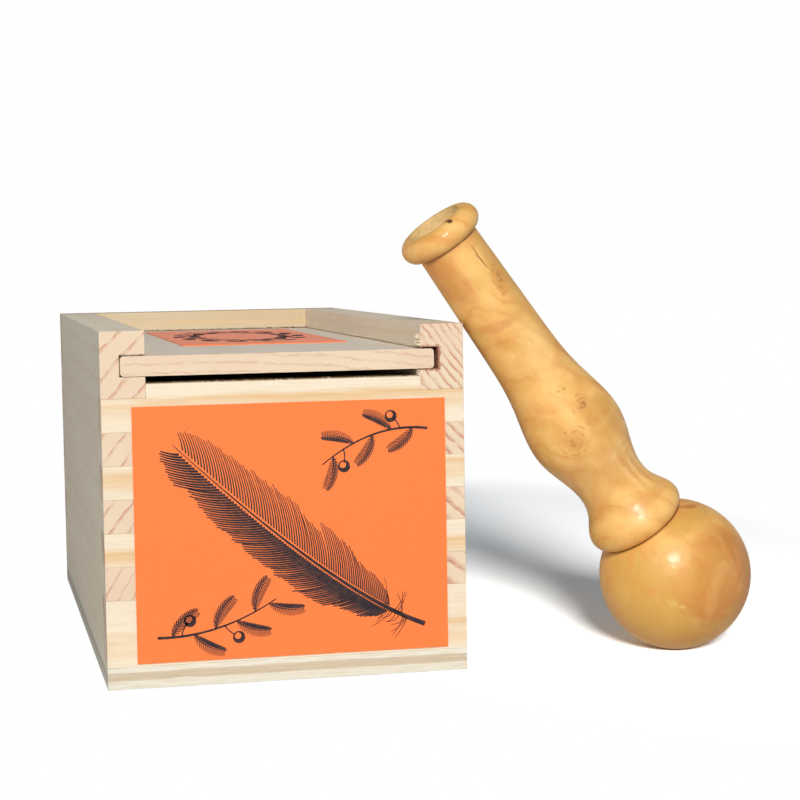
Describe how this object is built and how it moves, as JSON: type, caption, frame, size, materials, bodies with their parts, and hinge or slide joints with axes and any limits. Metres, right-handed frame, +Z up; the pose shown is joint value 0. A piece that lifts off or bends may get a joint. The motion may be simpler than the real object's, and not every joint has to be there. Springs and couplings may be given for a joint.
{
  "type": "bird call",
  "caption": "Mouth-blown bird call turned from boxwood, with bead, bulged tube and ball, leaning on its finger-jointed pine case with a sliding lid.",
  "frame": {"origin": "centre of the case's underside, on the surface that it stands on", "axes": "+Z up, -Y towards the case's front and the way the lid slides out, +X towards the side on which the call leans"},
  "size_m": [0.1239, 0.1385, 0.086],
  "materials": {
    "pine": "planed, unvarnished",
    "plywood": "sanded three-ply",
    "label_paper": "matt coated paper",
    "boxwood": "gloss varnish",
    "tinplate": "bright, stamped"
  },
  "bodies": {
    "case": {"front_wall": "pine", "back_wall": "pine", "left_wall": "pine", "right_wall": "pine", "floor_panel": "plywood", "front_label": "label_paper"},
    "lid": {"lid": "pine", "lid_label": "label_paper"},
    "call": {"call_tube": "boxwood", "call_ball": "boxwood", "whistle_front_plate": "tinplate", "whistle_back_plate": "tinplate"}
  },
  "joints": [
    {"name": "lid_slide", "type": "slide", "parent": "case", "child": "lid", "axis": [0, -1, 0], "range_m": [0, 0.115]},
    {"name": "call_lift", "type": "slide", "parent": "case", "child": "call", "axis": [0, 0, 1], "range_m": [0, 0.08]}
  ]
}
